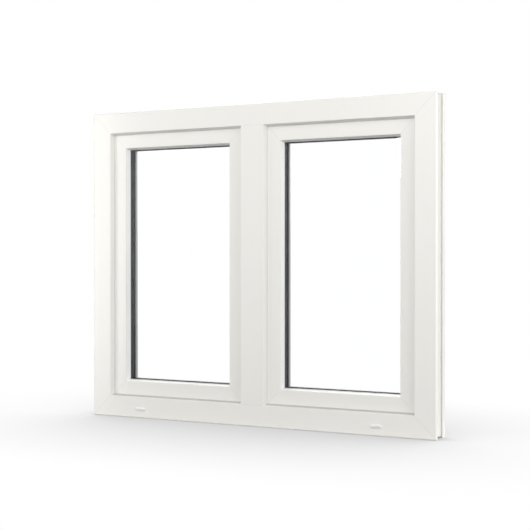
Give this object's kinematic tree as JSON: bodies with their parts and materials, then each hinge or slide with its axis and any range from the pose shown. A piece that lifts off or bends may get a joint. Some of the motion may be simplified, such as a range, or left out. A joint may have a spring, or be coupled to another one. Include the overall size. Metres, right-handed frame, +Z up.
{
  "type": "two-light pvc casement window",
  "caption": "White PVC window unit: mitred outer frame with a fixed mullion between glazed inward-opening sashes, sealed double glazing, handles and hinges indoors.",
  "frame": {"origin": "underside of the sill, at mid width, in the middle of its 23 mm broad foot", "axes": "+X along the window, to the right seen from outdoors; +Y into the room; +Z up"},
  "size_m": [1.19, 0.1449, 1],
  "materials": {
    "white_upvc": "satin",
    "cap_plastic": "satin",
    "pale_gasket": "matt",
    "grey_gasket": "matt",
    "dark_gasket": "matt",
    "glass_spacer": "matt",
    "clear_glass": "polished",
    "handle_plastic": "satin powder coat",
    "hinge_cover": "satin"
  },
  "bodies": {
    "root": {"frame_head": "white_upvc", "frame_left_jamb": "white_upvc", "frame_right_jamb": "white_upvc", "frame_sill": "white_upvc", "left_drain_cap": "cap_plastic", "left_frame_seal": "grey_gasket", "left_glass_spacer": "glass_spacer", "left_handle_lever": "handle_plastic", "left_handle_rose": "handle_plastic", "left_inner_glazing_gasket": "dark_gasket", "left_inner_pane": "clear_glass", "left_lap_seal": "dark_gasket", "left_lower_hinge": "hinge_cover", "left_outer_glazing_gasket": "pale_gasket", "left_outer_pane": "clear_glass", "left_sash_bottom_bead": "white_upvc", "left_sash_bottom_rail": "white_upvc", "left_sash_hinge_stile": "white_upvc", "left_sash_left_bead": "white_upvc", "left_sash_lock_stile": "white_upvc", "left_sash_right_bead": "white_upvc", "left_sash_top_bead": "white_upvc", "left_sash_top_rail": "white_upvc", "left_upper_hinge": "hinge_cover", "mullion": "white_upvc", "right_drain_cap": "cap_plastic", "right_frame_seal": "grey_gasket", "right_glass_spacer": "glass_spacer", "right_handle_lever": "handle_plastic", "right_handle_rose": "handle_plastic", "right_inner_glazing_gasket": "dark_gasket", "right_inner_pane": "clear_glass", "right_lap_seal": "dark_gasket", "right_lower_hinge": "hinge_cover", "right_outer_glazing_gasket": "pale_gasket", "right_outer_pane": "clear_glass", "right_sash_bottom_bead": "white_upvc", "right_sash_bottom_rail": "white_upvc", "right_sash_hinge_stile": "white_upvc", "right_sash_left_bead": "white_upvc", "right_sash_lock_stile": "white_upvc", "right_sash_right_bead": "white_upvc", "right_sash_top_bead": "white_upvc", "right_sash_top_rail": "white_upvc", "right_upper_hinge": "hinge_cover"}
  },
  "joints": []
}
